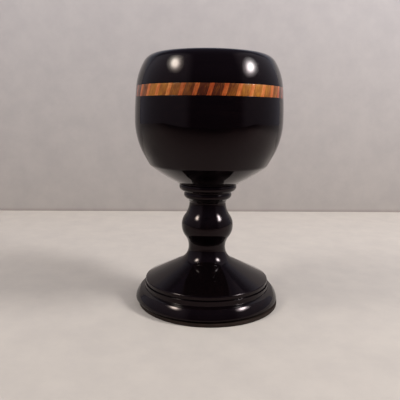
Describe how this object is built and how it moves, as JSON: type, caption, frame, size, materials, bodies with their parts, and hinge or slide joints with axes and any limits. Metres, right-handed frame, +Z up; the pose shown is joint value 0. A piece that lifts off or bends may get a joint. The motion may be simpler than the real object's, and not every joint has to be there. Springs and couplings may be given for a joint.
{
  "type": "communion chalice",
  "caption": "Turned dark wood chalice: round bowl with an inward lip and a slanted segmented band, knopped stem, collar of beads, domed foot.",
  "frame": {"origin": "where the turning axis meets the underside of the leather pad, on the surface that the chalice stands on", "axes": "+Z up along the turning axis; X and Y are alike, with a slip of the band centred on each"},
  "size_m": [0.0886, 0.0884, 0.15],
  "materials": {
    "blackwood": "high gloss over near-black wood",
    "band_block_wood": "gloss, gold to dark brown, end-to-end colour change",
    "band_slip_wood": "gloss, orange-red",
    "pad_leather": "thin brown leather disc",
    "rod_steel": "zinc-plated steel",
    "insert_brass": "turned brass"
  },
  "bodies": {
    "root": {"bowl_cup": "blackwood", "bowl_rim_ring": "blackwood", "stem": "blackwood", "foot": "blackwood", "band_block_01": "band_block_wood", "band_block_02": "band_block_wood", "band_block_03": "band_block_wood", "band_block_04": "band_block_wood", "band_block_05": "band_block_wood", "band_block_06": "band_block_wood", "band_block_07": "band_block_wood", "band_block_08": "band_block_wood", "band_block_09": "band_block_wood", "band_block_10": "band_block_wood", "band_block_11": "band_block_wood", "band_block_12": "band_block_wood", "band_block_13": "band_block_wood", "band_block_14": "band_block_wood", "band_block_15": "band_block_wood", "band_block_16": "band_block_wood", "band_block_17": "band_block_wood", "band_block_18": "band_block_wood", "band_block_19": "band_block_wood", "band_block_20": "band_block_wood", "band_block_21": "band_block_wood", "band_block_22": "band_block_wood", "band_block_23": "band_block_wood", "band_block_24": "band_block_wood", "band_block_25": "band_block_wood", "band_block_26": "band_block_wood", "band_block_27": "band_block_wood", "band_block_28": "band_block_wood", "band_block_29": "band_block_wood", "band_block_30": "band_block_wood", "band_block_31": "band_block_wood", "band_block_32": "band_block_wood", "band_block_33": "band_block_wood", "band_block_34": "band_block_wood", "band_block_35": "band_block_wood", "band_block_36": "band_block_wood", "band_slips": "band_slip_wood", "base_pad": "pad_leather", "tie_rod": "rod_steel", "tie_washer": "rod_steel", "tie_nut": "rod_steel", "bowl_insert": "insert_brass"}
  },
  "joints": []
}
